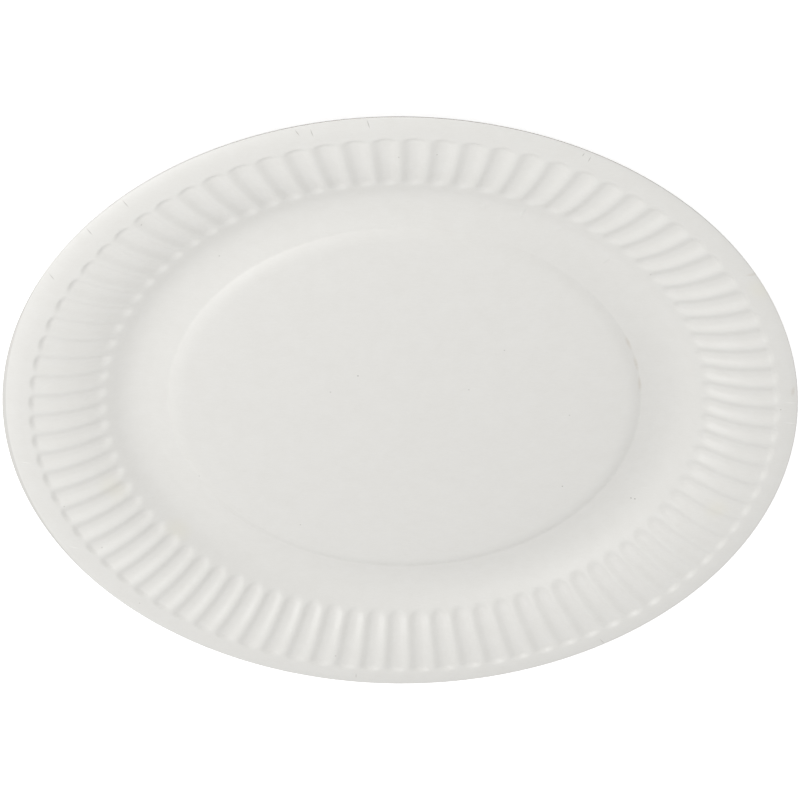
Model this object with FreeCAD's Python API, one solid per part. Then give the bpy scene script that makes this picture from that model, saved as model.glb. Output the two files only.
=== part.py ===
import FreeCAD, Part
import math
import os

from FreeCAD import Vector

# Round paper plate, 23 cm across, pressed from one sheet of coated board.
#
# Millimetres. +Z is up and points out of the hollow. The origin is the middle of the
# trimmed outline, on the plane that the plate stands on. The pressed form (panel, wall
# and flutes) has an axis of its own beside the origin, because the sheet lay a little
# to one side in the press. Heights are those of the board's upper face, and its
# underside lies one board thickness below, measured square to the surface.
#
# The surface is made of flat facets, one set for each flute. Their corners lie on the
# arcs and lines of the section, so a round stretch is as many facets as its steps say.

# Sheet
board = 0.45                # thickness of the board
press_shift_x = 1.19        # from the middle of the outline to the axis of the pressed form
press_shift_y = -0.4

# Raised panel in the middle
panel_flat_radius = 45.9    # the panel is flat this far out
dome_run = 18.4             # width of the very shallow dome round the flat
dome_slope = 2.0            # fall at the dome's outer edge, degrees
shoulder_blend = 11.5       # radius of the rounded shoulder that ends in the crease
crease_slope = 27.0         # fall of the shoulder at the crease, degrees
apron_run = 6.4             # width of the gentle fall from the crease to the foot
apron_slope = 7.6           # degrees

# Foot, wall and rim
foot_width = 1.6            # flat ring that touches the table
foot_blend = 14.5           # radius of the upper face on both sides of the foot
wall_run = 33.5             # from the foot's flat to the top of the rim
wall_straight = 4.9         # straight stretch of the wall, along its slope
wall_slope = 30.0           # degrees
crown_flat = 0.6            # width of the flat on top of the rim
lip_width = 3.8             # from that flat to the mean cut edge
lip_blend = 12.0            # radius of the lip, which falls outwards

# Flutes: grooves pressed down into the wall, with a sharp ridge between each two
flute_count = 84
flute_depth = 1.0
floor_share = 0.36          # flat floor's share of the pitch
flute_start = 1.5           # from the end of the foot's blend to the grooves' inner ends
flute_end = 2.4             # from the grooves' outer ends to the flat on top of the rim
inner_ramp = 2.8            # radial length of a groove's inner end
outer_ramp = 2.0            # radial length of a groove's outer end
first_ridge = 0.75          # angle of the first ridge from +X, degrees

# Facets from end to end of each round stretch
dome_steps = 1
shoulder_steps = 2
foot_in_steps = 1
foot_out_steps = 3
wall_steps = 3

# What follows from the sizes above: slopes in radians, radii from the form's axis
rise = math.radians(wall_slope)
apron = math.radians(apron_slope)
crease = math.radians(crease_slope)
dome_edge = math.radians(dome_slope)
pitch = math.radians(360.0 / flute_count)
flank = (1 - floor_share) / 2
dome_blend = dome_run / math.sin(dome_edge)
dome_radius = panel_flat_radius + dome_run
shoulder_middle = dome_radius - shoulder_blend * math.sin(dome_edge)
crease_radius = shoulder_middle + shoulder_blend * math.sin(crease)
foot_inner = crease_radius + apron_run
foot_outer = foot_inner + foot_width
wall_start = foot_outer + foot_blend * math.sin(rise)
crown_blend = (wall_run - wall_straight * math.cos(rise)) / math.sin(rise) - foot_blend
crown_radius = foot_outer + wall_run
lip_middle = crown_radius + crown_flat
cut_radius = lip_middle + lip_width
groove_inner = wall_start + board * math.sin(rise) + flute_start
groove_outer = crown_radius - flute_end

# Heights of the upper face, and of the middles of its arcs
foot_middle_z = board + foot_blend
apron_end = foot_inner - foot_blend * math.sin(apron)
apron_end_z = foot_middle_z - foot_blend * math.cos(apron)
crease_z = apron_end_z + (apron_end - crease_radius) * math.tan(apron)
shoulder_middle_z = crease_z - shoulder_blend * math.cos(crease)
dome_middle_z = shoulder_middle_z + (shoulder_blend - dome_blend) * math.cos(dome_edge)
wall_start_z = foot_middle_z - foot_blend * math.cos(rise)
crown_middle_z = wall_start_z + wall_straight * math.sin(rise) - crown_blend * math.cos(rise)
crown_z = crown_middle_z + crown_blend
lip_middle_z = crown_z - lip_blend


def arc_points(middle, middle_z, blend, fall, end_fall, steps):
    """Radius and height of points along an arc, between two angles at which it falls outwards.

    A blend below 0 curves upwards.
    """
    falls = [fall + (end_fall - fall) * n / steps for n in range(steps + 1)]
    return [(middle + blend * math.sin(a), middle_z + blend * math.cos(a)) for a in falls]


def wall_height(radius, down):
    """Height of the straight wall and of the crown, lowered by down square to the surface."""
    crown_start = crown_radius - (crown_blend - down) * math.sin(rise)
    if radius < crown_start:
        return wall_start_z + (radius - wall_start) * math.tan(rise) - down / math.cos(rise)
    return crown_middle_z + math.sqrt((crown_blend - down) ** 2 - (crown_radius - radius) ** 2)


def lip_height(radius, down):
    return lip_middle_z + math.sqrt((lip_blend - down) ** 2 - (radius - lip_middle) ** 2)


def crease_fall(down):
    """Fall of the shoulder where it meets the apron, both lowered by down."""
    reach = (crease_radius - shoulder_middle) * math.sin(apron)
    reach += (crease_z - shoulder_middle_z) * math.cos(apron) - down
    return apron + math.acos(reach / (shoulder_blend - down))


def middle_rows(down):
    """Section from the edge of the panel's flat to the inner ends of the grooves."""
    foot = -(foot_blend + down)
    dome = arc_points(panel_flat_radius, dome_middle_z, dome_blend - down, 0, dome_edge, dome_steps)
    shoulder = arc_points(shoulder_middle, shoulder_middle_z, shoulder_blend - down,
                          dome_edge, crease_fall(down), shoulder_steps)
    foot_in = arc_points(foot_inner, foot_middle_z, foot, apron, 0, foot_in_steps)
    foot_out = arc_points(foot_outer, foot_middle_z, foot, 0, -rise, foot_out_steps)
    return dome + shoulder[1:] + foot_in + foot_out


def groove_rows(down):
    """Radius, height of the ridge and depth of the groove, from end to end of a groove."""
    wall_from = groove_inner + inner_ramp
    wall_to = groove_outer - outer_ramp
    radii = [wall_from + (wall_to - wall_from) * n / wall_steps for n in range(wall_steps + 1)]
    rows = [(radius, wall_height(radius, down), flute_depth) for radius in radii]
    first = (groove_inner, wall_height(groove_inner, down), 0)
    last = (groove_outer, wall_height(groove_outer, down), 0)
    return [first] + rows + [last]


def trim_radius(angle):
    """Radius of the cut edge from the form's axis, in that direction."""
    along = press_shift_x * math.cos(angle) + press_shift_y * math.sin(angle)
    across = press_shift_x * math.sin(angle) - press_shift_y * math.cos(angle)
    return math.sqrt(cut_radius ** 2 - across ** 2) - along


def turned(radius, height, turn):
    """Point at that many pitches from the first ridge."""
    angle = math.radians(first_ridge) + pitch * turn
    return Vector(press_shift_x + radius * math.cos(angle), press_shift_y + radius * math.sin(angle), height)


def across_pitch(number, place, radius, height):
    """Point on the straight line from one ridge, at place 0, to the next, at place 1."""
    ridge = turned(radius, height, number)
    return ridge + (turned(radius, height, number + 1) - ridge) * place


def facet(*corners):
    return Part.Face(Part.makePolygon(list(corners) + [corners[0]]))


def ring(radius, height):
    """Closed polygon with a corner at every ridge."""
    corners = [turned(radius, height, number) for number in range(flute_count)]
    return Part.makePolygon(corners + [corners[0]])


def band(inner, outer):
    """Facets between two rows of the section, or one flat ring where both are level."""
    if inner[1] == outer[1]:
        return Part.Face(ring(*outer)).cut(Part.Face(ring(*inner))).Faces
    faces = []
    for n in range(flute_count):
        faces.append(facet(across_pitch(n, 0, *inner), across_pitch(n, 1, *inner),
                           across_pitch(n, 1, *outer), across_pitch(n, 0, *outer)))
    return faces


def groove_end(plain, grooved):
    """Facets from a plain row to the end of the grooves, where the grooves have no depth yet."""
    faces = []
    for n in range(flute_count):
        end = [across_pitch(n, place, *grooved) for place in (1, 1 - flank, flank, 0)]
        faces.append(facet(across_pitch(n, 0, *plain), across_pitch(n, 1, *plain), *end))
    return faces


def groove_band(near, far):
    """Flanks and floor of every groove, between two rows."""
    faces = []
    for n in range(flute_count):
        corners = []
        for radius, height, depth in (near, far):
            floor = height - depth
            corners.append([across_pitch(n, 0, radius, height), across_pitch(n, flank, radius, floor),
                            across_pitch(n, 1 - flank, radius, floor), across_pitch(n, 1, radius, height)])
        (a, b, c, d), (e, f, g, h) = corners
        faces += [facet(a, b, e), facet(b, f, e), facet(b, c, g, f), facet(c, d, h), facet(c, h, g)]
    return faces


def lip_edge(turn, down):
    """Point of the cut edge at that many pitches from the first ridge."""
    radius = trim_radius(math.radians(first_ridge) + pitch * turn)
    return turned(radius, lip_height(radius, down), turn)


def lip_band(inner, down):
    """Facets out to the cut edge, which has a corner at every ridge and every groove."""
    faces = []
    for n in range(flute_count):
        a, b = across_pitch(n, 0, *inner), across_pitch(n, 1, *inner)
        c, d, e = lip_edge(n, down), lip_edge(n + 0.5, down), lip_edge(n + 1, down)
        faces += [facet(a, d, c), facet(a, b, d), facet(b, e, d)]
    return faces


def sheet_face(down):
    """One side of the board."""
    rows = middle_rows(down)
    grooves = groove_rows(down)
    crown = (crown_radius, crown_z - down)
    lip_start = (lip_middle, crown_z - down)
    lip_halfway = (lip_middle + lip_width / 2, lip_height(lip_middle + lip_width / 2, down))
    faces = [Part.Face(ring(*rows[0]))]
    for inner, outer in zip(rows, rows[1:]):
        faces += band(inner, outer)
    faces += groove_end(rows[-1], grooves[0][:2])
    for near, far in zip(grooves, grooves[1:]):
        faces += groove_band(near, far)
    faces += groove_end(crown, grooves[-1][:2])
    return faces + band(crown, lip_start) + band(lip_start, lip_halfway) + lip_band(lip_halfway, down)


def cut_edge():
    """The board's cut edge, square to the table."""
    faces = []
    for half in range(2 * flute_count):
        turns = (half / 2, (half + 1) / 2)
        upper = [lip_edge(turn, 0) for turn in turns]
        lower = [lip_edge(turn, board) for turn in reversed(turns)]
        faces.append(facet(*upper, *lower))
    return faces


def plate():
    shell = Part.makeShell(sheet_face(0) + sheet_face(board) + cut_edge())
    shell.sewShape(board / 1000)
    return Part.makeSolid(shell.Shells[0])


os.makedirs("parts", exist_ok=True)
piece = plate()
print("solids", len(piece.Solids), "faces", len(piece.Faces), "valid", piece.isValid(),
      "closed", piece.isClosed(), "volume", round(piece.Volume, 1))
print("box", piece.BoundBox)
piece.exportStep("parts/plate.step")
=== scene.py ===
# %% [markdown]
# # A pressed paper plate
#
# The real plate starts as a flat round sheet of coated board. A press folds it once, between two
# dies, into a raised panel, a foot, a fluted wall and a lip. This lesson builds it the same way:
# one section line, turned through a single flute, pressed, and then copied round the plate.
# The measured model comes first, because it says how large everything is.

# %% Load the measured model
import math

import bmesh
import bpy
from mathutils import Matrix, Vector


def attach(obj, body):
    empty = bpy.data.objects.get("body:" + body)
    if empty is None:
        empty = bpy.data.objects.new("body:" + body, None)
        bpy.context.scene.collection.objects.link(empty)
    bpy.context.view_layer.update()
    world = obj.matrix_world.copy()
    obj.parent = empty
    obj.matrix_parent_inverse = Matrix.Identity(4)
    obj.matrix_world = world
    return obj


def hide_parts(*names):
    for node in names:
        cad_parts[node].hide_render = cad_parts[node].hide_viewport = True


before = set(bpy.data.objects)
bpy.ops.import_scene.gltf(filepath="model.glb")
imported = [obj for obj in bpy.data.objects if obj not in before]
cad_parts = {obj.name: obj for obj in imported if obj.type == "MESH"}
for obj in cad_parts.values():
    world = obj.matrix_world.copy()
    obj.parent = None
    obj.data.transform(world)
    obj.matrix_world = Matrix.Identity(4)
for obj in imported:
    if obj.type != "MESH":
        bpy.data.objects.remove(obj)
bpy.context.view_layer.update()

# %% [markdown]
# ## The sizes of the plate
#
# These are the driving sizes of the pressed form, in millimetres, as the measured model has them.
# Slopes are in degrees. The pressed form has an axis of its own, a little beside the middle of the
# outline, because the sheet lay slightly to one side in the press. Every other radius and height
# follows from these values, so the section stays smooth when one of them changes.

# %% Driving sizes
MM = 0.001
BOARD = 0.45
PRESS_SHIFT = Vector((1.19, -0.4, 0))
PANEL_FLAT_RADIUS = 45.9
DOME_RUN = 18.4
DOME_SLOPE = math.radians(2.0)
SHOULDER_BLEND = 11.5
CREASE_SLOPE = math.radians(27.0)
APRON_RUN = 6.4
APRON_SLOPE = math.radians(7.6)
FOOT_WIDTH = 1.6
FOOT_BLEND = 14.5
WALL_RUN = 33.5
WALL_STRAIGHT = 4.9
WALL_SLOPE = math.radians(30.0)
CROWN_FLAT = 0.6
LIP_WIDTH = 3.8
LIP_BLEND = 12.0
FLUTES = 84
FLUTE_DEPTH = 1.0
FIRST_RIDGE = math.radians(0.75)

# %% Radii and heights that follow
pitch = 2 * math.pi / FLUTES
dome_blend = DOME_RUN / math.sin(DOME_SLOPE)
dome_radius = PANEL_FLAT_RADIUS + DOME_RUN
shoulder_middle = dome_radius - SHOULDER_BLEND * math.sin(DOME_SLOPE)
crease_radius = shoulder_middle + SHOULDER_BLEND * math.sin(CREASE_SLOPE)
foot_inner = crease_radius + APRON_RUN
foot_outer = foot_inner + FOOT_WIDTH
crown_blend = (WALL_RUN - WALL_STRAIGHT * math.cos(WALL_SLOPE)) / math.sin(WALL_SLOPE) - FOOT_BLEND
crown_radius = foot_outer + WALL_RUN
lip_middle = crown_radius + CROWN_FLAT
cut_radius = lip_middle + LIP_WIDTH
foot_middle_z = BOARD + FOOT_BLEND
apron_end = foot_inner - FOOT_BLEND * math.sin(APRON_SLOPE)
apron_end_z = foot_middle_z - FOOT_BLEND * math.cos(APRON_SLOPE)
crease_z = apron_end_z + (apron_end - crease_radius) * math.tan(APRON_SLOPE)
shoulder_middle_z = crease_z - SHOULDER_BLEND * math.cos(CREASE_SLOPE)
dome_middle_z = shoulder_middle_z + (SHOULDER_BLEND - dome_blend) * math.cos(DOME_SLOPE)
wall_start = foot_outer + FOOT_BLEND * math.sin(WALL_SLOPE)
wall_start_z = foot_middle_z - FOOT_BLEND * math.cos(WALL_SLOPE)
crown_middle_z = wall_start_z + WALL_STRAIGHT * math.sin(WALL_SLOPE) - crown_blend * math.cos(WALL_SLOPE)
crown_z = crown_middle_z + crown_blend

# %% [markdown]
# ## One line for the section
#
# The section is a chain of arcs and straight runs. A modeller could draw it as a curve, but points
# that are laid down by a formula put the rows of the mesh exactly where the surface bends. They are
# close together in the crease and at the ends of the flutes, and far apart on the flat panel.
# The cut edge of the measured model is a polygon, so the round one here stays a hair inside it.

# %% Points of the section
CREASE_ROUND = 0.3          # half the width of the little round that softens the crease
CREASE_LIFT = 0.09          # rise of the round above the sharp crease, as a share of that half width
GROOVE_FROM, GROOVE_TO = 86.0, 109.0    # radii of the two tips of a groove
INNER_END, OUTER_END = 4.0, 2.3         # how far its rounded ends reach in from the tips
DOME_STEPS, SHOULDER_STEPS, FOOT_IN_STEPS, FOOT_OUT_STEPS = 2, 5, 2, 5
END_ROWS, WALL_ROWS, LIP_ROWS = 8, 7, 6
CUT_INSIDE = 0.02           # how far the round outline stays inside the measured one


def arc_points(middle, middle_z, blend, fall, end_fall, steps):
    falls = [fall + (end_fall - fall) * n / steps for n in range(steps + 1)]
    return [(middle + blend * math.sin(a), middle_z + blend * math.cos(a)) for a in falls]


def wall_height(radius):
    if radius < crown_radius - crown_blend * math.sin(WALL_SLOPE):
        return wall_start_z + (radius - wall_start) * math.tan(WALL_SLOPE)
    return crown_middle_z + math.sqrt(crown_blend ** 2 - (crown_radius - radius) ** 2)


def lip_height(radius):
    return crown_z - LIP_BLEND + math.sqrt(LIP_BLEND ** 2 - (radius - lip_middle) ** 2)


def spread(start, end, steps):
    return [start + (end - start) * n / steps for n in range(steps + 1)]


groove_rows = (spread(GROOVE_FROM, GROOVE_FROM + INNER_END, END_ROWS)[:-1]
               + spread(GROOVE_FROM + INNER_END, GROOVE_TO - OUTER_END, WALL_ROWS)[:-1]
               + spread(GROOVE_TO - OUTER_END, GROOVE_TO, END_ROWS))
lip_radii = spread(lip_middle, cut_radius - CUT_INSIDE, LIP_ROWS)[1:]
shoulder_end = math.asin((crease_radius - CREASE_ROUND - shoulder_middle) / SHOULDER_BLEND)
section = [(0, dome_middle_z + dome_blend)]
section += arc_points(PANEL_FLAT_RADIUS, dome_middle_z, dome_blend, 0, DOME_SLOPE, DOME_STEPS)[:-1]
section += arc_points(shoulder_middle, shoulder_middle_z, SHOULDER_BLEND,
                      DOME_SLOPE, shoulder_end, SHOULDER_STEPS)
section += [(crease_radius, crease_z + CREASE_ROUND * CREASE_LIFT),
            (crease_radius + CREASE_ROUND, crease_z - CREASE_ROUND * math.tan(APRON_SLOPE))]
section += arc_points(foot_inner, foot_middle_z, -FOOT_BLEND, APRON_SLOPE, 0, FOOT_IN_STEPS)
section += arc_points(foot_outer, foot_middle_z, -FOOT_BLEND, 0, -WALL_SLOPE, FOOT_OUT_STEPS)
section += [(radius, wall_height(radius)) for radius in groove_rows]
section += [(crown_radius, crown_z), (lip_middle, crown_z)]
section += [(radius, lip_height(radius)) for radius in lip_radii]
print("points along the section:", len(section))

# %% [markdown]
# ## From a point to a sheet
#
# A small plane merged to one point gives the first point of the line. Extruding that point again
# and again draws the section, just as it is done by hand. Spin then turns the line through a
# single flute. Only this one narrow slice is shaped, because all the others are the same.

# %% Draw the section by extruding a point
COLUMNS = 10                # strips across one flute
SAME = 0.02 * MM            # points closer than this count as one


def edit(piece):
    bpy.ops.object.select_all(action="DESELECT")
    piece.select_set(True)
    bpy.context.view_layer.objects.active = piece
    bpy.ops.object.mode_set(mode="EDIT")
    bpy.ops.mesh.select_mode(type="VERT")
    bpy.ops.mesh.select_all(action="DESELECT")


def select_points(piece, wanted):
    mesh = bmesh.from_edit_mesh(piece.data)
    for vert in mesh.verts:
        vert.select = wanted(vert.co)
    mesh.select_flush_mode()
    bmesh.update_edit_mesh(piece.data)


def finish_edit():
    bpy.ops.object.mode_set(mode="OBJECT")


bpy.ops.object.select_all(action="DESELECT")
bpy.ops.mesh.primitive_plane_add(size=MM, location=(0, 0, section[0][1] * MM))
plate = bpy.context.object
plate.name = plate.data.name = "pressed_plate"
bpy.ops.object.transform_apply(location=True, rotation=True, scale=True)
edit(plate)
bpy.ops.mesh.select_all(action="SELECT")
bpy.ops.mesh.merge(type="CENTER")
for (r0, z0), (r1, z1) in zip(section, section[1:]):
    step = Vector((r1 - r0, 0, z1 - z0)) * MM
    bpy.ops.mesh.extrude_vertices_move(TRANSFORM_OT_translate={"value": step})
finish_edit()
print("section line:", len(plate.data.vertices), "points")

# %% Turn the line through one flute
edit(plate)
bpy.ops.mesh.select_all(action="SELECT")
bpy.ops.mesh.spin(steps=COLUMNS, angle=pitch, center=(0, 0, 0), axis=(0, 0, 1))
finish_edit()
angles = [math.atan2(v.co.y, v.co.x) for v in plate.data.vertices if v.co.xy.length > MM]
turned_from, turned_to = min(angles), max(angles)
print("one flute spans", [round(math.degrees(a), 3) for a in (turned_from, turned_to)], "degrees")

# %% [markdown]
# ## Pressing the groove
#
# A flute of the real plate is a groove with a broad floor and a narrow rounded ridge on each side,
# and both of its ends are rounded like the ends of a slot. The depth is one smooth law of the
# distance from the groove's middle line. Points of equal depth are selected and moved down at once.

# %% Press the groove into the slice
RIDGE_SHARPNESS = 3.2
SAME_COLUMN = pitch / 100   # angles closer than this belong to one column of points
MID_BAND = 2


def groove_share(radius, place):
    """Share of the full depth at a radius, and at a place from 0 on one ridge to 1 on the next."""
    across = abs(place - 0.5) * 2
    before = max(0, GROOVE_FROM + INNER_END - radius) / INNER_END
    beyond = max(0, radius - GROOVE_TO + OUTER_END) / OUTER_END
    from_middle = min(1, math.hypot(across, before + beyond))
    return 1 - math.sin(math.pi / 2 * from_middle) ** RIDGE_SHARPNESS


edit(plate)
for radius in groove_rows:
    for column in range(1, COLUMNS // 2 + 1):
        share = groove_share(radius, column / COLUMNS)
        if share <= 0:
            continue
        angles = (turned_from + column * pitch / COLUMNS, turned_to - column * pitch / COLUMNS)

        def on_both(co):
            return (abs(co.xy.length - radius * MM) < SAME
                    and min(abs(math.atan2(co.y, co.x) - a) for a in angles) < SAME_COLUMN)

        select_points(plate, on_both)
        bpy.ops.transform.translate(value=(0, 0, -share * FLUTE_DEPTH * MM))
finish_edit()
mid_wall = (GROOVE_FROM + GROOVE_TO) / 2
lowered = [v.co.z / MM for v in plate.data.vertices if abs(v.co.xy.length / MM - mid_wall) < MID_BAND]
print("heights halfway up the wall:", round(min(lowered), 2), "to", round(max(lowered), 2), "mm")

# %% [markdown]
# ## Copying the slice round the plate
#
# Spin can also copy what is selected instead of joining it. After 83 copies the slices meet, and
# merging by distance welds them into one sheet and closes the pole in the middle of the panel.

# %% Copy the slice and weld the sheet
edit(plate)
bpy.ops.mesh.select_all(action="SELECT")
bpy.ops.mesh.spin(steps=FLUTES - 1, angle=pitch * (FLUTES - 1), dupli=True, center=(0, 0, 0), axis=(0, 0, 1))
bpy.ops.mesh.select_all(action="SELECT")
bpy.ops.mesh.remove_doubles(threshold=SAME)
bpy.ops.mesh.select_all(action="SELECT")
bpy.ops.mesh.normals_make_consistent(inside=False)
finish_edit()
if sum(face.normal.z * face.area for face in plate.data.polygons) < 0:
    edit(plate)
    bpy.ops.mesh.select_all(action="SELECT")
    bpy.ops.mesh.flip_normals()
    finish_edit()
plate.data.transform(Matrix.Rotation(FIRST_RIDGE - turned_from, 4, "Z"))
plate.data.transform(Matrix.Translation(PRESS_SHIFT * MM))
print("sheet:", len(plate.data.vertices), "points,", len(plate.data.polygons), "faces")

# %% [markdown]
# ## The cut edge is round about another point
#
# The sheet was cut before it was pressed, so its outline is centred beside the pressed form. Each
# ring of the lip is moved part of the way from one centre to the other. A ring that moves outwards
# on a falling lip must also sink there, so each ring is tilted by a fraction of a degree. The
# points of every ring are noted before the first one moves, because rings that have moved cross
# the places where others started.

# %% Move and tilt the rings of the lip
def ring_at(radius):
    """Places of all points at that radius from the axis of the pressed form."""
    return {tuple(v.co) for v in plate.data.vertices
            if abs((v.co - PRESS_SHIFT * MM).xy.length - radius * MM) < SAME}


rings = [ring_at(radius) for radius in lip_radii]
print("points in the rings of the lip:", [len(ring) for ring in rings])
edit(plate)
for number, (radius, ring) in enumerate(zip(lip_radii, rings), 1):
    part_way = number / LIP_ROWS
    select_points(plate, lambda co: tuple(co) in ring)
    fall = (radius - lip_middle) / math.sqrt(LIP_BLEND ** 2 - (radius - lip_middle) ** 2)
    tilt = fall * part_way / radius
    centre = (PRESS_SHIFT.x * MM, PRESS_SHIFT.y * MM, lip_height(radius) * MM)
    bpy.ops.transform.rotate(value=tilt * PRESS_SHIFT.x, orient_axis="Y", center_override=centre)
    bpy.ops.transform.rotate(value=-tilt * PRESS_SHIFT.y, orient_axis="X", center_override=centre)
    bpy.ops.transform.translate(value=-PRESS_SHIFT * MM * part_way)
finish_edit()
outline = sorted((v.co for v in plate.data.vertices
                  if abs(v.co.xy.length - (cut_radius - CUT_INSIDE) * MM) < SAME), key=lambda co: co.x)
for end, co in (("left", outline[0]), ("right", outline[-1])):
    on_arc = lip_height((co - PRESS_SHIFT * MM).xy.length / MM)
    print("cut edge at the", end, round(co.z / MM, 3), "mm high, and the lip's arc", round(on_arc, 3))

# %% [markdown]
# ## What the board looks like close to
#
# The board is white paper with a thin coating on its upper face. Close to, it isn't one even white:
# the pulp lies in faint clouds, its fibres leave a fine felt, and a dark speck turns up here and
# there. Both faces and the cut edge show this, so it is made once, as a node group that gives out
# masks only, and each finish mixes its own colours with them. The pattern follows the Object
# coordinates, which are metres on the plate itself, so a scale of 200 means clouds of about 5 mm.

# %% Helpers for nodes and node groups
def add_node(tree, kind, inputs, **settings):
    """Adds a node, makes its settings, and gives each named input a value or a link."""
    made = tree.nodes.new(kind)
    for name, value in settings.items():
        setattr(made, name, value)
    for name, value in inputs.items():
        if isinstance(value, bpy.types.NodeSocket):
            tree.links.new(value, made.inputs[name])
        else:
            made.inputs[name].default_value = value
    return made


def new_group(name, takes, gives):
    tree = bpy.data.node_groups.new(name, "ShaderNodeTree")
    for way, sockets in (("INPUT", takes), ("OUTPUT", gives)):
        for label, kind in sockets.items():
            tree.interface.new_socket(name=label, in_out=way, socket_type="NodeSocket" + kind)
    return tree, tree.nodes.new("NodeGroupInput").outputs, tree.nodes.new("NodeGroupOutput").inputs


def reckon(tree, operation, *values):
    inputs = dict(enumerate(values))
    return add_node(tree, "ShaderNodeMath", inputs, operation=operation).outputs[0]


def mixed(tree, share, below, above):
    """The colour that goes from below to above as the share goes from 0 to 1."""
    return add_node(tree, "ShaderNodeMix", {0: share, 6: below, 7: above}, data_type="RGBA").outputs[2]


# %% The felt of the paper
CLOUDS, FIBRES, SPECK_CELLS = 210, 620, 100
CLOUD_ROUGHNESS = 0.62
FIBRE_TURNS = (25, -50)
FIBRE_STRETCH = 5
SPECK_CORE, SPECK_RIM = 0.012, 0.03     # radii of a speck, as shares of a cell
SPECK_FREE = 0.96                       # share of the cells that have no speck
paper_felt, given, result = new_group(
    "paper_felt", {"Place": "Vector"}, {"Clouds": "Float", "Fibres": "Float", "Specks": "Float"})
clouds = add_node(paper_felt, "ShaderNodeTexNoise",
                  {"Vector": given["Place"], "Scale": CLOUDS, "Detail": 4, "Roughness": CLOUD_ROUGHNESS})
paper_felt.links.new(clouds.outputs[0], result["Clouds"])
layers = []
for turn in FIBRE_TURNS:
    laid = add_node(paper_felt, "ShaderNodeMapping", {
        "Vector": given["Place"], "Rotation": (0, 0, math.radians(turn)), "Scale": (1, FIBRE_STRETCH, 1)})
    layer = add_node(paper_felt, "ShaderNodeTexNoise",
                     {"Vector": laid.outputs[0], "Scale": FIBRES, "Detail": 2})
    layers.append(layer.outputs[0])
paper_felt.links.new(reckon(paper_felt, "MAXIMUM", *layers), result["Fibres"])
cells = add_node(paper_felt, "ShaderNodeTexVoronoi", {"Vector": given["Place"], "Scale": SPECK_CELLS},
                 voronoi_dimensions="2D")
chance = add_node(paper_felt, "ShaderNodeSeparateColor", {"Color": cells.outputs["Color"]})
spot = add_node(paper_felt, "ShaderNodeMapRange", {
    "Value": cells.outputs["Distance"], "From Min": SPECK_CORE, "From Max": SPECK_RIM,
    "To Min": 1, "To Max": 0})
few = reckon(paper_felt, "GREATER_THAN", chance.outputs["Red"], SPECK_FREE)
paper_felt.links.new(reckon(paper_felt, "MULTIPLY", spot.outputs[0], few), result["Specks"])
print("nodes in the felt:", len(paper_felt.nodes))

# %% [markdown]
# ## Marks, with painted light and shade on some
#
# Plates that travel in a stack get small marks, and this one has hairline cracks where the lip
# was bent, with painted shade in their dark colour, creases on the lip, with a painted highlight
# in their pale colour, and short wrinkles where the wall starts. Brown marks lie along the crease
# and on the lip. Each is a long thin spot, so one group draws a spot of any place, turn and size,
# and a short list for each kind of mark says where they are. Places are polar, about the axis of
# the pressed form: an azimuth in degrees and a radius in millimetres. Then come the mark's length
# in millimetres and its turn from the radius in degrees.

# %% A spot of any size and turn
MARK_CORE = 0.1             # share of a mark's size that has its full strength
short_mark, given, result = new_group("short_mark", {
    "Place": "Vector", "Middle": "Vector", "Turn": "Float", "Half Size": "Vector", "Strength": "Float"},
    {"Mask": "Float"})
offset = add_node(short_mark, "ShaderNodeVectorMath",
                  {0: given["Place"], 1: given["Middle"]}, operation="SUBTRACT")
level = add_node(short_mark, "ShaderNodeVectorRotate", {"Vector": offset.outputs[0], "Angle": given["Turn"]},
                 rotation_type="Z_AXIS", invert=True)
in_sizes = add_node(short_mark, "ShaderNodeVectorMath",
                    {0: level.outputs[0], 1: given["Half Size"]}, operation="DIVIDE")
distance = add_node(short_mark, "ShaderNodeVectorMath", {0: in_sizes.outputs[0]}, operation="LENGTH")
fade = add_node(short_mark, "ShaderNodeMapRange", {
    "Value": distance.outputs["Value"], "From Min": MARK_CORE, "From Max": 1,
    "To Min": given["Strength"], "To Max": 0}, interpolation_type="SMOOTHSTEP")
short_mark.links.new(fade.outputs[0], result["Mask"])
print("nodes in the short mark:", len(short_mark.nodes))

# %% Where the marks are
# hairline cracks on the lip; their dark colour is partly the crack and partly painted shade
SHADED_LIP_CRACKS = ((94.8, 113.7, 3.6, 12), (104.4, 113.9, 2.8, 21), (102.5, 113.1, 3.2, 6),
              (131.3, 114.1, 3.4, -3), (138.6, 114.3, 3.4, -10), (148.7, 114.0, 3.2, -23),
              (65.2, 113.4, 1.6, -9), (64.1, 112.8, 2.5, 2), (-97.8, 111.2, 3.0, 7), (-56.5, 112.3, 3.9, 0))
# creases on the lip; their pale colour is a painted highlight where they catch the light
HIGHLIT_LIP_CREASES = ((5.5, 111.8, 5.0, -9), (1.3, 111.9, 5.0, -10),
                (-172.9, 111.9, 4.2, -16), (-153.2, 111.8, 4.2, -42))
WRINKLES = ((66.5, 81.6, 8.0, 8), (45.2, 79.7, 4.5, 5), (57.9, 80.7, 4.0, -30), (74.0, 79.8, 3.5, 20))
BROWN_MARKS = ((21.6, 69.1, 8, 90), (14.6, 69.1, 8, 90), (7.6, 69.0, 8, 90),
           (32.1, 113.3, 4.4, -26), (7.8, 112.5, 5, 81))
YELLOWED = ((-161.2, 91.8, 16, -78), (-143.6, 85.4, 14, -86), (29.0, 112.9, 12, -78), (-21.1, 100.0, 12, 81))
DARK_SPOTS = ((-29.9, 79.1, 0.7, 0), (-29.6, 80.2, 0.8, 40), (-34.2, 57.4, 0.6, 2), (134.0, 19.2, 0.7, 29))


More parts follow.
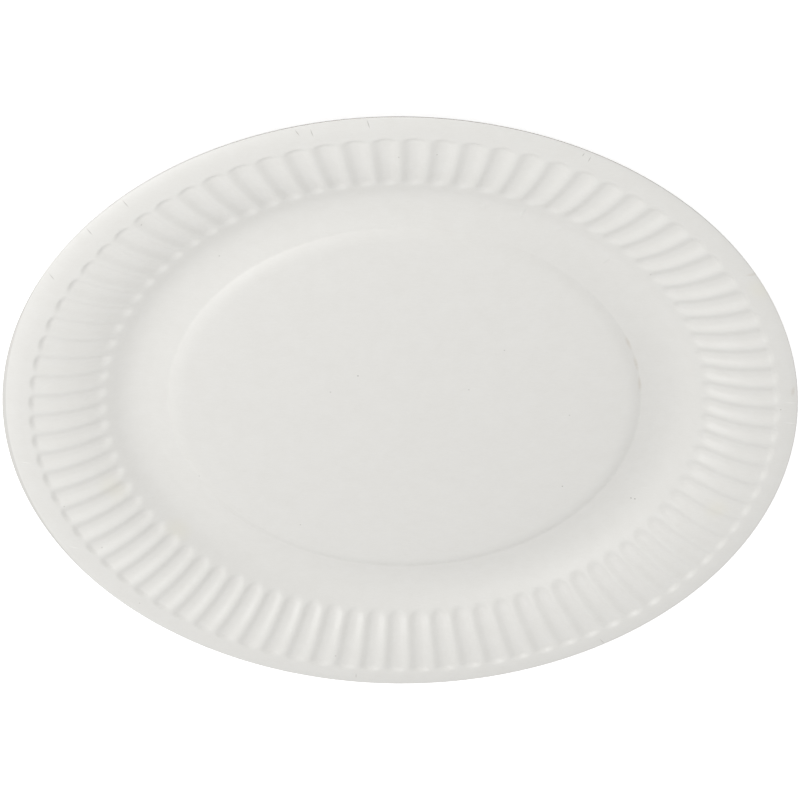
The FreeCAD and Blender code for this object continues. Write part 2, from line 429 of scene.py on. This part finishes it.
def marks(tree, place, listed, width, strength):
    """One mask for all marks of a kind."""
    mask = None
    for azimuth, radius, length, turn in listed:
        along = Matrix.Rotation(math.radians(azimuth), 3, "Z") @ Vector((radius, 0, 0))
        spot = add_node(tree, "ShaderNodeGroup", {
            "Place": place, "Middle": (along + PRESS_SHIFT) * MM, "Turn": math.radians(azimuth + turn),
            "Half Size": (length / 2 * MM, width / 2 * MM, 1), "Strength": strength}, node_tree=short_mark)
        mask = spot.outputs["Mask"] if mask is None else reckon(tree, "MAXIMUM", mask, spot.outputs["Mask"])
    return mask


# %% [markdown]
# ## Three finishes for one sheet
#
# The upper face has a soft sheen from its coating. On one side a matt grey margin, about a
# millimetre wide, runs along the cut. The underside is plain paper, and the cut is darker: partly
# the board's own middle and partly painted shade.

# %% Colours of the board
PAPER = (0.755, 0.748, 0.722, 1)
PAPER_SHADE = (0.720, 0.710, 0.680, 1)
BACK = (0.720, 0.712, 0.684, 1)
BACK_SHADE = (0.675, 0.666, 0.636, 1)
GREY_MARGIN = (0.640, 0.630, 0.605, 1)
# colours of the cut: the board's darker middle with painted shade laid over it
CUT_AND_PAINTED_SHADE = (0.400, 0.378, 0.338, 1)
CUT_DARKER_AND_PAINTED_SHADE = (0.300, 0.280, 0.245, 1)
# dark colour of the lip's cracks: partly the crack itself, partly painted shade in it
CRACK_SHADE = (0.300, 0.285, 0.260, 1)
# pale colour of the lip's creases: a painted highlight where they catch the light
CREASE_HIGHLIGHT = (0.860, 0.850, 0.825, 1)
BROWN = (0.520, 0.455, 0.370, 1)
YELLOW = (0.740, 0.722, 0.645, 1)
SPECK = (0.200, 0.185, 0.160, 1)
TONE_LIGHT, TONE_SHADE = 0.3, 0.72      # tones of the felt that are all light and all shade
SPECK_STRENGTH = 0.35


def finish_of(name):
    made = bpy.data.materials.new(name)
    made.use_nodes = True
    return made, made.node_tree, made.node_tree.nodes["Principled BSDF"]


def felted(tree, light, shade, cloud_share):
    """Place on the piece, the felt's fibres, and the paper's colour with its clouds, fibres and specks."""
    place = add_node(tree, "ShaderNodeTexCoord", {}).outputs["Object"]
    felt = add_node(tree, "ShaderNodeGroup", {"Place": place}, node_tree=paper_felt).outputs
    fibres = reckon(tree, "MULTIPLY", felt["Fibres"], 1 - cloud_share)
    tone = reckon(tree, "MULTIPLY_ADD", felt["Clouds"], cloud_share, fibres)
    contrast = add_node(tree, "ShaderNodeMapRange",
                        {"Value": tone, "From Min": TONE_LIGHT, "From Max": TONE_SHADE})
    colour = mixed(tree, contrast.outputs[0], light, shade)
    specks = reckon(tree, "MULTIPLY", felt["Specks"], SPECK_STRENGTH)
    return place, felt["Fibres"], mixed(tree, specks, colour, SPECK)


def raised(tree, shader, height):
    """Bump from a height in millimetres."""
    bump = add_node(tree, "ShaderNodeBump", {"Height": height, "Distance": MM})
    tree.links.new(bump.outputs["Normal"], shader.inputs["Normal"])


# %% The coated upper face
MARGIN_EDGE = 119.9        # radius where the grey margin begins, about a point of its own
MARGIN_MIDDLE = Vector((5.98, 0.5, 0))
MARGIN_FADE = 0.15
COATED_CLOUDS = 0.5         # share of the clouds in the felt, and the fibres have the rest
SHEEN_ROUGHNESS = 0.36
SHEEN_BELOW, SHEEN_ABOVE = 0.04, 0.05
MATT_ROUGHER = 0.45         # how much rougher the board is on the grey margin and on the cracks
WRINKLE_WIDTH, HIGHLIT_CREASE_WIDTH, CRACK_WIDTH = 1.3, 0.5, 0.3
BROWN_WIDTH, YELLOW_WIDTH, SPOT_WIDTH = 1.5, 9, 0.6
CREASE_HIGHLIGHT_STRENGTH, CRACK_SHADE_STRENGTH = 0.7, 0.65
BROWN_STRENGTH, YELLOW_STRENGTH, SPOT_STRENGTH = 0.55, 0.5, 0.85
FIBRE_RELIEF, WRINKLE_RELIEF, HIGHLIT_CREASE_RELIEF, CRACK_RELIEF = 0.012, 0.07, 0.05, -0.08
coated, tree, shader = finish_of("coated_face")
place, fibres, colour = felted(tree, PAPER, PAPER_SHADE, COATED_CLOUDS)
wrinkles = marks(tree, place, WRINKLES, WRINKLE_WIDTH, 1)
highlit_creases = marks(tree, place, HIGHLIT_LIP_CREASES, HIGHLIT_CREASE_WIDTH, CREASE_HIGHLIGHT_STRENGTH)
shaded_cracks = marks(tree, place, SHADED_LIP_CRACKS, CRACK_WIDTH, CRACK_SHADE_STRENGTH)
brown_marks = reckon(tree, "MULTIPLY", marks(tree, place, BROWN_MARKS, BROWN_WIDTH, BROWN_STRENGTH), fibres)
colour = mixed(tree, marks(tree, place, YELLOWED, YELLOW_WIDTH, YELLOW_STRENGTH), colour, YELLOW)
colour = mixed(tree, brown_marks, colour, BROWN)
# the lip's creases get a painted highlight
colour = mixed(tree, highlit_creases, colour, CREASE_HIGHLIGHT)
colour = mixed(tree, marks(tree, place, DARK_SPOTS, SPOT_WIDTH, SPOT_STRENGTH), colour, SPECK)
# the cracks get their dark colour, partly painted shade
colour = mixed(tree, shaded_cracks, colour, CRACK_SHADE)
from_middle = add_node(tree, "ShaderNodeVectorMath", {0: place, 1: MARGIN_MIDDLE * MM}, operation="SUBTRACT")
flat = add_node(tree, "ShaderNodeVectorMath", {0: from_middle.outputs[0], 1: (1, 1, 0)}, operation="MULTIPLY")
reach = add_node(tree, "ShaderNodeVectorMath", {0: flat.outputs[0]}, operation="LENGTH")
margin = add_node(tree, "ShaderNodeMapRange", {
    "Value": reach.outputs["Value"], "From Min": (MARGIN_EDGE - MARGIN_FADE) * MM,
    "From Max": (MARGIN_EDGE + MARGIN_FADE) * MM}, interpolation_type="SMOOTHSTEP").outputs[0]
colour = mixed(tree, margin, colour, GREY_MARGIN)
tree.links.new(colour, shader.inputs["Base Color"])
rough = add_node(tree, "ShaderNodeMapRange", {
    "Value": fibres, "To Min": SHEEN_ROUGHNESS - SHEEN_BELOW, "To Max": SHEEN_ROUGHNESS + SHEEN_ABOVE})
matt = reckon(tree, "MAXIMUM", margin, shaded_cracks)
matt_rough = reckon(tree, "MULTIPLY_ADD", matt, MATT_ROUGHER, rough.outputs[0])
tree.links.new(matt_rough, shader.inputs["Roughness"])
height = reckon(tree, "MULTIPLY", fibres, FIBRE_RELIEF)
for mask, relief in ((wrinkles, WRINKLE_RELIEF), (highlit_creases, HIGHLIT_CREASE_RELIEF), (shaded_cracks, CRACK_RELIEF)):
    height = reckon(tree, "MULTIPLY_ADD", mask, relief, height)
raised(tree, shader, height)
print("nodes in the coated face:", len(tree.nodes))

# %% The plain underside and the cut
plate.data.materials.append(coated)
# the cut's finish takes its colours with painted shade in them
for name, light, shade, cloud_share, roughness, relief in (
        ("plain_underside", BACK, BACK_SHADE, 0.6, 0.85, 0.03),
        ("cut_edge", CUT_AND_PAINTED_SHADE, CUT_DARKER_AND_PAINTED_SHADE, 0.3, 0.95, 0.06)):
    finish, tree, shader = finish_of(name)
    place, fibres, colour = felted(tree, light, shade, cloud_share)
    tree.links.new(colour, shader.inputs["Base Color"])
    shader.inputs["Roughness"].default_value = roughness
    raised(tree, shader, reckon(tree, "MULTIPLY", fibres, relief))
    plate.data.materials.append(finish)
print("finishes:", [finish.name for finish in plate.data.materials])

# %% [markdown]
# ## Giving the sheet its thickness
#
# Solidify grows the board downwards from its coated face and can give the underside and the cut
# edge materials of their own. A narrow bevel keeps the cut from looking like a knife edge.

# %% Thicken, soften the cut and shade
EDGE_SOFTNESS = 0.05
BEVEL_FROM = math.radians(60)
SMOOTH_UP_TO = math.radians(50)
bpy.context.view_layer.objects.active = plate
bpy.ops.object.modifier_add(type="SOLIDIFY")
thicken = plate.modifiers[-1]
thicken.thickness = BOARD * MM
thicken.offset = -1
thicken.use_even_offset = True
thicken.material_offset = 1
thicken.material_offset_rim = 2
bpy.ops.object.modifier_apply(modifier=thicken.name)
bpy.ops.object.modifier_add(type="BEVEL")
soften = plate.modifiers[-1]
soften.width = EDGE_SOFTNESS * MM
soften.segments = 1
soften.limit_method = "ANGLE"
soften.angle_limit = BEVEL_FROM
bpy.ops.object.modifier_apply(modifier=soften.name)
bpy.ops.object.shade_smooth_by_angle(angle=SMOOTH_UP_TO)
check = bmesh.new()
check.from_mesh(plate.data)
print("faces", len(check.faces), "triangles", sum(len(f.verts) - 2 for f in check.faces))
print("open edges", sum(not e.is_manifold for e in check.edges),
      "volume in mm3", round(check.calc_volume() / MM ** 3))
check.free()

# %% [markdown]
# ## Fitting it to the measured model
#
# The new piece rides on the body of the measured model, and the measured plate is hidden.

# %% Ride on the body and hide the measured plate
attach(plate, "root")
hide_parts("plate")

# %% [markdown]
# ## Floor, light and camera
#
# The plate lies on a plain pale floor. The light is soft and even, with one large lamp to the left
# and a weaker one on the camera's side that give the flutes their shade. The floor looks white to
# the camera. The camera stands on the +Y side and is turned upside down, so that the near side of
# the plate is at the top of the picture.

# %% Floor and world
FLOOR_SIZE = 6
FLOOR_COLOUR = (0.80, 0.80, 0.80, 1)
FLOOR_GLOW = 0.68
WORLD_LEVEL = 0.614
bpy.ops.object.select_all(action="DESELECT")
bpy.ops.mesh.primitive_plane_add(size=FLOOR_SIZE, location=(0, 0, 0))
floor = bpy.context.object
floor.name = "floor"


def backdrop_share(tree):
    """1 for what the camera sees, also in a mirror or through glass, and 0 for what lights the plate."""
    path = add_node(tree, "ShaderNodeLightPath", {}).outputs
    seen = reckon(tree, "MAXIMUM", path["Is Camera Ray"], path["Is Glossy Ray"])
    return reckon(tree, "MAXIMUM", seen, path["Is Transmission Ray"])


floor_finish, tree, shader = finish_of("floor")
floor.data.materials.append(floor_finish)
shader.inputs["Base Color"].default_value = FLOOR_COLOUR
shader.inputs["Roughness"].default_value = 1
shader.inputs["Specular IOR Level"].default_value = 0
glow_level = reckon(tree, "MULTIPLY", backdrop_share(tree), FLOOR_GLOW)
glow = add_node(tree, "ShaderNodeEmission", {"Strength": glow_level})
together = add_node(tree, "ShaderNodeAddShader", {0: shader.outputs[0], 1: glow.outputs[0]})
tree.links.new(together.outputs[0], tree.nodes["Material Output"].inputs["Surface"])

world = bpy.data.worlds.new("studio")
bpy.context.scene.world = world
world.use_nodes = True
tree = world.node_tree
sky = tree.nodes["Background"]
sky.inputs["Color"].default_value = (1, 1, 1, 1)
sky_level = add_node(tree, "ShaderNodeMapRange",
                     {"Value": backdrop_share(tree), "To Min": WORLD_LEVEL, "To Max": 1})
tree.links.new(sky_level.outputs[0], sky.inputs["Strength"])

# %% Two large soft lamps
LAMP_HEIGHT = math.radians(50)
LAMP_AWAY = 0.70
LAMP_SIZE = 0.5
LEFT_FROM, LEFT_POWER = math.radians(170), 1.85
NEAR_FROM, NEAR_POWER = math.radians(80), 0.9


def soft_lamp(name, azimuth, height, power):
    lamp_data = bpy.data.lights.new(name, "AREA")
    lamp_data.shape = "DISK"
    lamp_data.size = LAMP_SIZE
    lamp_data.energy = power
    lamp = bpy.data.objects.new(name, lamp_data)
    bpy.context.scene.collection.objects.link(lamp)
    outwards = math.cos(height)
    towards = Vector((math.cos(azimuth) * outwards, math.sin(azimuth) * outwards, math.sin(height)))
    lamp.location = towards * LAMP_AWAY
    lamp.rotation_euler = towards.to_track_quat("Z", "Y").to_euler()
    print(name, "stands at", [round(c, 2) for c in lamp.location], "m")


soft_lamp("left_lamp", LEFT_FROM, LAMP_HEIGHT, LEFT_POWER)
soft_lamp("near_lamp", NEAR_FROM, LAMP_HEIGHT, NEAR_POWER)

# %% Camera
CAMERA_TILT = math.radians(44.386)
CAMERA_PLACE = Vector((0, 606.65, 618.78))
CAMERA_LENS, SENSOR_WIDTH = 133.21, 36
camera_data = bpy.data.cameras.new("camera")
camera_data.sensor_width = SENSOR_WIDTH
camera_data.lens = CAMERA_LENS
camera = bpy.data.objects.new("camera", camera_data)
bpy.context.scene.collection.objects.link(camera)
side = Vector((1, 0, 0))
up = Vector((0, math.cos(CAMERA_TILT), -math.sin(CAMERA_TILT)))
back = side.cross(up)
camera.matrix_world = Matrix.Translation(CAMERA_PLACE * MM) @ Matrix((side, up, back)).transposed().to_4x4()
bpy.context.scene.camera = camera
bpy.context.scene.view_settings.view_transform = "Standard"
print("camera looks down by", round(90 - math.degrees(CAMERA_TILT), 1), "degrees")
